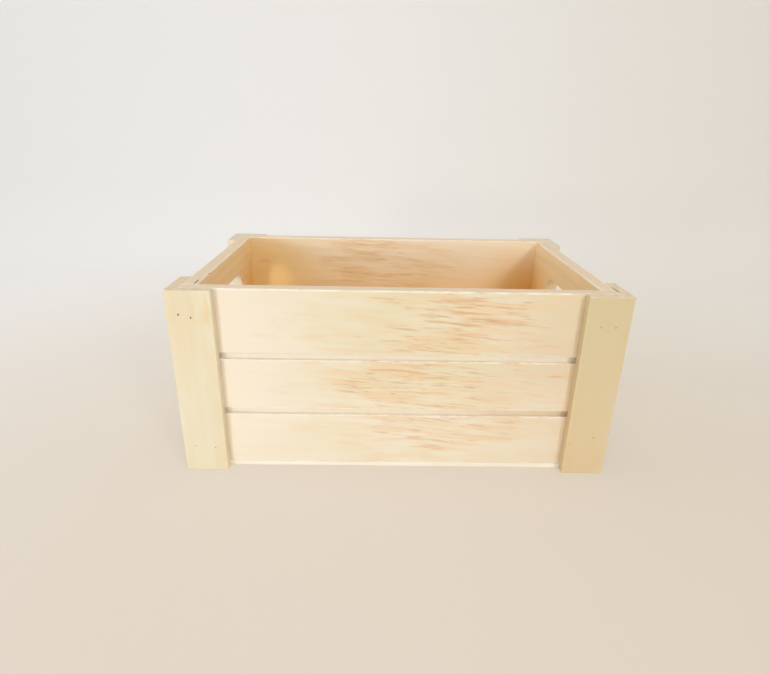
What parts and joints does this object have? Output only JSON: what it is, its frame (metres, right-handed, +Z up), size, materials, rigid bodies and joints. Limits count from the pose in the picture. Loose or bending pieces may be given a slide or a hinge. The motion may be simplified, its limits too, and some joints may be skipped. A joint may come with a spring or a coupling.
{
  "type": "crate",
  "caption": "Open rectangular pine crate with grooved board walls, corner strips, a hand hole in each end and a thin nailed bottom.",
  "frame": {"origin": "middle of the underside, on the surface that the crate stands on", "axes": "+X along the crate's length, to the right in the picture; -Y out of its front; +Z up"},
  "size_m": [0.3, 0.204, 0.132],
  "materials": {
    "board_pine": "planed, unfinished",
    "strip_pine": "planed, unfinished",
    "bottom_wood": "sanded, unfinished",
    "brad_steel": "dull"
  },
  "bodies": {
    "root": {"front_board": "board_pine", "back_board": "board_pine", "left_end_board": "board_pine", "right_end_board": "board_pine", "bottom_sheet": "bottom_wood", "front_left_strip": "strip_pine", "front_right_strip": "strip_pine", "back_left_strip": "strip_pine", "back_right_strip": "strip_pine", "left_front_strip": "strip_pine", "left_back_strip": "strip_pine", "right_front_strip": "strip_pine", "right_back_strip": "strip_pine", "front_strip_brads": "brad_steel", "back_strip_brads": "brad_steel", "left_strip_brads": "brad_steel", "right_strip_brads": "brad_steel", "corner_brads": "brad_steel", "bottom_brads": "brad_steel"}
  },
  "joints": []
}
